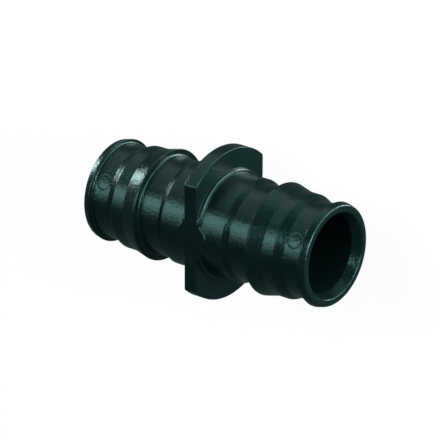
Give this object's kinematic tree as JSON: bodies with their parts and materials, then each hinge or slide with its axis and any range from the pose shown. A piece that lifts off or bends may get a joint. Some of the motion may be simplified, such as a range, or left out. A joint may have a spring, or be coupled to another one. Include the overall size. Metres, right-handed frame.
{
  "type": "pex coupling",
  "caption": "Moulded straight coupling for expanded plastic pipe: mirrored spigots with sealing rings, either side of a round stop flange with wrench flats, and a plain through bore.",
  "frame": {"origin": "centre of the coupling, on the bore's axis, midway through the flange", "axes": "+X along the bore; the wrench flats face +Z and -Z; the coupling lies on its two sealing rings, flat down"},
  "size_m": [0.0686, 0.039, 0.0288],
  "materials": {
    "moulded_plastic": "satin, as moulded"
  },
  "bodies": {
    "root": {"coupling_body": "moulded_plastic"}
  },
  "joints": []
}
